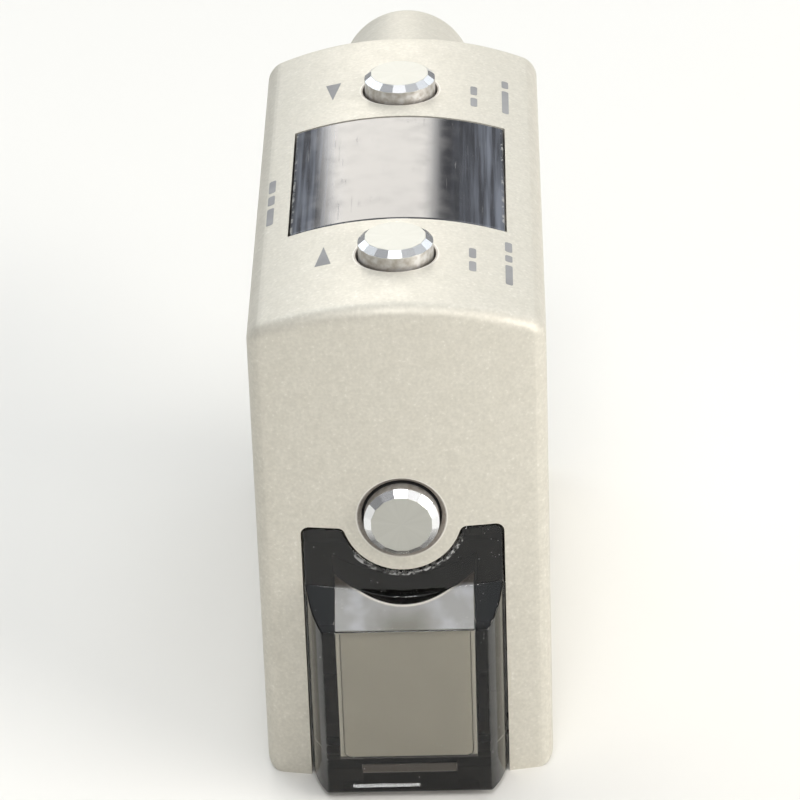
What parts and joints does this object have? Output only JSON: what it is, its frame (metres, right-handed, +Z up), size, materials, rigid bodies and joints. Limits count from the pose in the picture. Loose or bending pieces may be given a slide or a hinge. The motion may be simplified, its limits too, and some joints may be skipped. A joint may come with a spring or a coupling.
{
  "type": "laser photoelectric sensor",
  "caption": "Small laser photoelectric sensor in a crowned metal housing with a top display, push buttons, a smoked lens cover, cross holes and a tapered cable gland.",
  "frame": {"origin": "centre of the body's underside, midway between its two sides and between the side edges of its front and rear faces", "axes": "+X to the right seen from the front, +Y from the lens cover at the front to the gland at the rear, +Z up to the display"},
  "size_m": [0.0172, 0.0555, 0.0331],
  "materials": {
    "housing_metal": "satin blasted plating",
    "plate_metal": "satin plate",
    "cap_metal": "polished turned metal",
    "screw_steel": "bright steel",
    "black_rubber": "matt rubber",
    "smoked_plastic": "clear glossy smoked plastic",
    "black_plastic": "matt moulded plastic",
    "cream_plastic": "matt light plastic",
    "filter_grey": "satin filter plastic",
    "lens_glass": "polished lens",
    "board_green": "coated circuit board",
    "amber_strip": "flexible circuit film"
  },
  "bodies": {
    "housing": {"base_plate": "plate_metal", "base_screw_1": "screw_steel", "base_screw_2": "screw_steel", "base_screw_3": "screw_steel", "base_screw_4": "screw_steel", "base_seal": "black_rubber", "board_screw_1": "screw_steel", "board_screw_2": "screw_steel", "cable_connector": "cream_plastic", "display_board": "board_green", "display_module": "black_plastic", "display_window": "smoked_plastic", "down_switch": "black_plastic", "emitter_lens": "lens_glass", "filter_panel": "filter_grey", "flexible_strip": "amber_strip", "gland_bush": "black_rubber", "housing": "housing_metal", "laser_diode": "screw_steel", "lens_cover": "smoked_plastic", "lens_seal": "black_rubber", "main_board": "board_green", "optics_holder": "black_plastic", "processor": "black_plastic", "receiver_chip": "black_plastic", "receiver_lens": "lens_glass", "set_switch": "black_plastic", "strip_connector": "cream_plastic", "switch_board": "board_green", "up_switch": "black_plastic", "window_frame": "cream_plastic", "window_seal": "black_rubber"},
    "up_button": {"up_button": "cap_metal", "up_ring": "black_rubber", "up_clip": "screw_steel"},
    "down_button": {"down_button": "cap_metal", "down_ring": "black_rubber", "down_clip": "screw_steel"},
    "set_button": {"set_button": "cap_metal", "set_ring": "black_rubber", "set_clip": "screw_steel"}
  },
  "joints": [
    {"name": "up_press", "type": "slide", "parent": "housing", "child": "up_button", "axis": [0, 0, -1], "range_m": [0, 0.0004], "stiffness_N_per_m": 1000, "springref_m": -0.001},
    {"name": "down_press", "type": "slide", "parent": "housing", "child": "down_button", "axis": [0, 0, -1], "range_m": [0, 0.0004], "stiffness_N_per_m": 1000, "springref_m": -0.001},
    {"name": "set_press", "type": "slide", "parent": "housing", "child": "set_button", "axis": [0, 1, 0], "range_m": [0, 0.0004], "stiffness_N_per_m": 1000, "springref_m": -0.001}
  ]
}
